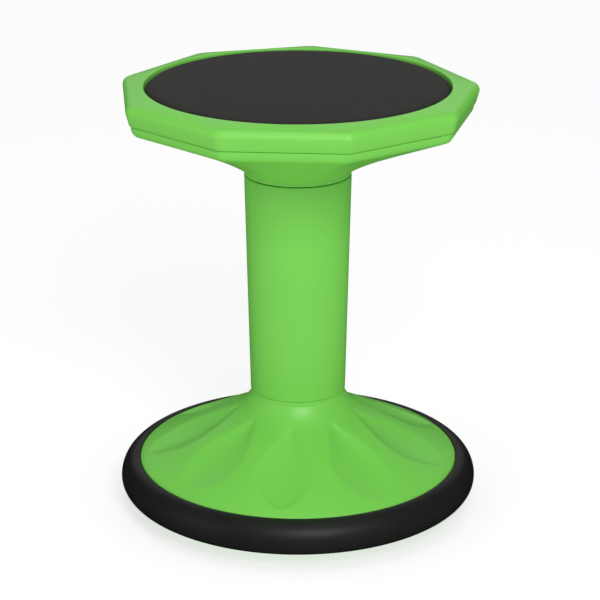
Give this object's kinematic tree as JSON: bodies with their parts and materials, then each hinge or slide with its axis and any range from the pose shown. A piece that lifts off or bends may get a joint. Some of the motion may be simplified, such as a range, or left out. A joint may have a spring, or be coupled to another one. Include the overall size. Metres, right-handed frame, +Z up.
{
  "type": "children's wobble stool",
  "caption": "Active-seating wobble stool: faceted green seat with a round black pad, tapered screw-lift column, fluted dome base with a rubber ring and a rocking underside.",
  "frame": {"origin": "on the column's axis at the floor, in the middle of the rocker plate's flat", "axes": "+Z up along the column; -Y towards the front"},
  "size_m": [0.3197, 0.3197, 0.3865],
  "materials": {
    "green_plastic": "satin moulded",
    "black_rubber": "satin",
    "pad_vinyl": "fine-grained matte vinyl",
    "grey_foam": "open-cell foam",
    "plywood": "sanded",
    "black_nylon": "satin moulded",
    "zinc_steel": "zinc plated"
  },
  "bodies": {
    "stand": {"base_shell": "green_plastic", "base_ring": "black_rubber", "rocker_plate": "black_nylon", "rocker_screw_1": "zinc_steel", "rocker_screw_2": "zinc_steel", "rocker_screw_3": "zinc_steel", "rocker_screw_4": "zinc_steel", "rocker_screw_5": "zinc_steel", "rocker_screw_6": "zinc_steel", "rocker_screw_7": "zinc_steel", "rocker_screw_8": "zinc_steel", "rocker_screw_9": "zinc_steel", "column": "green_plastic", "column_screw_1": "zinc_steel", "column_screw_2": "zinc_steel", "column_screw_3": "zinc_steel", "column_screw_4": "zinc_steel", "lift_nut": "black_nylon", "nut_screw_1": "zinc_steel", "nut_screw_2": "zinc_steel", "nut_screw_3": "zinc_steel", "nut_screw_4": "zinc_steel"},
    "glide": {"guide_puck": "black_nylon"},
    "seat": {"threaded_post": "black_nylon", "post_bolt": "zinc_steel", "post_washer": "zinc_steel", "post_nut": "zinc_steel", "seat_lower_shell": "green_plastic", "seat_top_shell": "green_plastic", "shell_screw_1": "zinc_steel", "shell_screw_2": "zinc_steel", "shell_screw_3": "zinc_steel", "shell_screw_4": "zinc_steel", "shell_screw_5": "zinc_steel", "shell_screw_6": "zinc_steel", "shell_screw_7": "zinc_steel", "shell_screw_8": "zinc_steel", "shell_screw_9": "zinc_steel", "post_screw_1": "zinc_steel", "post_screw_2": "zinc_steel", "post_screw_3": "zinc_steel", "post_screw_4": "zinc_steel", "post_screw_5": "zinc_steel", "post_screw_6": "zinc_steel", "pad_board": "plywood", "pad_foam": "grey_foam", "pad_cover": "pad_vinyl", "pad_screw_1": "zinc_steel", "pad_screw_2": "zinc_steel", "pad_screw_3": "zinc_steel", "pad_screw_4": "zinc_steel"}
  },
  "joints": [
    {"name": "seat_lift", "type": "slide", "parent": "stand", "child": "glide", "axis": [0, 0, 1], "range_m": [0, 0.1]},
    {"name": "seat_turn", "type": "hinge", "parent": "glide", "child": "seat", "pos_m": [0, 0, 0], "axis": [0, 0, 1], "range_deg": [0, 1800]}
  ],
  "couplings": [
    {"joint": "seat_lift", "follows": "seat_turn", "m_per_rad": 0.0031831}
  ]
}
